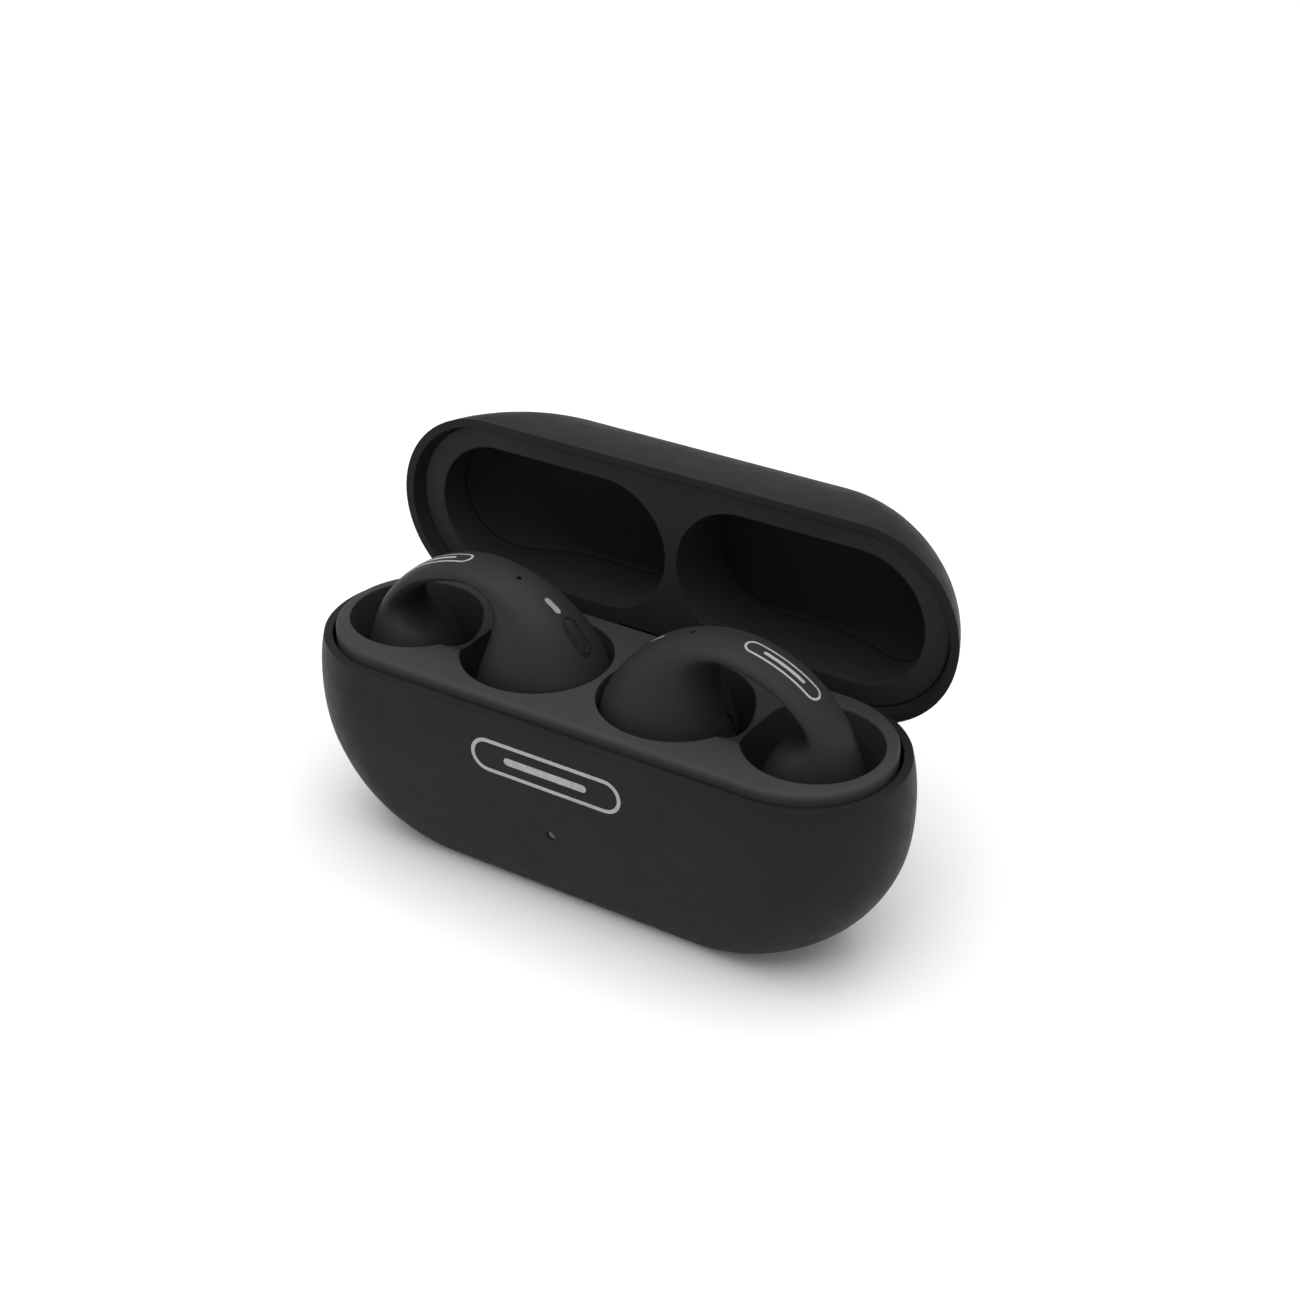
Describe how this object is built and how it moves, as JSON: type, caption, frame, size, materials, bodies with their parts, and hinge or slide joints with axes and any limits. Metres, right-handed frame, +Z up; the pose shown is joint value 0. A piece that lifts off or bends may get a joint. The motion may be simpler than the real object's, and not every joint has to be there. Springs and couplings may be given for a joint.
{
  "type": "wireless earbuds case",
  "caption": "Rounded charging case with a hinged lid and two clip-on ear cuffs resting in wells.",
  "frame": {"origin": "middle of the flat face that the case rests on", "axes": "+X along the case towards the right-hand cuff, -Y out of the front face, +Z up"},
  "size_m": [0.08, 0.0392, 0.0493],
  "materials": {
    "shell_plastic": "soft-touch matte",
    "tray_plastic": "satin",
    "liner_plastic": "satin",
    "cuff_elastomer": "soft matte",
    "cuff_button": "soft matte",
    "light_window": "translucent grey",
    "pin_steel": "ground",
    "magnet_nickel": "nickel plated",
    "circuit_board": "solder resist",
    "battery_foil": "laminated foil",
    "foam_pad": "foam tape",
    "socket_steel": "drawn",
    "pin_insulator": "moulded",
    "gold_contact": "gold plated",
    "light_pipe": "smoked",
    "led_body": "clear cap",
    "chip_plastic": "moulded",
    "coil_ferrite": "ferrite",
    "speaker_metal": "painted",
    "sound_mesh": "woven",
    "cell_steel": "can"
  },
  "bodies": {
    "case_base": {"base_shell": "shell_plastic", "inner_tray": "tray_plastic", "hinge_pin": "pin_steel", "tray_magnets": "magnet_nickel", "well_magnets": "magnet_nickel", "main_board": "circuit_board", "board_screws": "pin_steel", "battery": "battery_foil", "battery_adhesive_pad": "foam_pad", "usb_c_receptacle": "socket_steel", "charging_pin_blocks": "pin_insulator", "status_light_pipe": "light_pipe", "status_led": "led_body", "processor_chip": "chip_plastic", "charger_chip": "chip_plastic", "power_coil": "coil_ferrite", "lid_sensor": "chip_plastic"},
    "lid": {"lid_shell": "shell_plastic", "lid_liner": "liner_plastic", "lid_magnets": "magnet_nickel"},
    "left_cuff": {"left_cuff_battery_cell": "cell_steel", "left_cuff_circuit_board": "circuit_board", "left_cuff_contact_pads": "gold_contact", "left_cuff_holding_magnet": "magnet_nickel", "left_cuff_light_window": "light_window", "left_cuff_skin": "cuff_elastomer", "left_cuff_sound_mesh": "sound_mesh", "left_cuff_speaker_driver": "speaker_metal"},
    "left_button": {"left_cuff_button": "cuff_button"},
    "left_pins": {"left_charging_pins": "gold_contact"},
    "right_cuff": {"right_cuff_battery_cell": "cell_steel", "right_cuff_circuit_board": "circuit_board", "right_cuff_contact_pads": "gold_contact", "right_cuff_holding_magnet": "magnet_nickel", "right_cuff_light_window": "light_window", "right_cuff_skin": "cuff_elastomer", "right_cuff_sound_mesh": "sound_mesh", "right_cuff_speaker_driver": "speaker_metal"},
    "right_button": {"right_cuff_button": "cuff_button"},
    "right_pins": {"right_charging_pins": "gold_contact"}
  },
  "joints": [
    {"name": "lid_hinge", "type": "hinge", "parent": "case_base", "child": "lid", "pos_m": [0, 0.0115, 0.0249], "axis": [-1, 0, 0], "range_deg": [-90, 0]},
    {"name": "left_cuff_lift", "type": "slide", "parent": "case_base", "child": "left_cuff", "axis": [0, 0, 1], "range_m": [0, 0.03]},
    {"name": "left_button_press", "type": "slide", "parent": "left_cuff", "child": "left_button", "axis": [-0.7744, 0, -0.6327], "range_m": [0, 0.00025], "stiffness_N_per_m": 2000},
    {"name": "left_pins_press", "type": "slide", "parent": "case_base", "child": "left_pins", "axis": [0, 0, 1], "range_m": [-0.0005, 0], "stiffness_N_per_m": 600},
    {"name": "right_cuff_lift", "type": "slide", "parent": "case_base", "child": "right_cuff", "axis": [0, 0, 1], "range_m": [0, 0.03]},
    {"name": "right_button_press", "type": "slide", "parent": "right_cuff", "child": "right_button", "axis": [0.7744, 0, -0.6327], "range_m": [0, 0.00025], "stiffness_N_per_m": 2000},
    {"name": "right_pins_press", "type": "slide", "parent": "case_base", "child": "right_pins", "axis": [0, 0, 1], "range_m": [-0.0005, 0], "stiffness_N_per_m": 600}
  ]
}
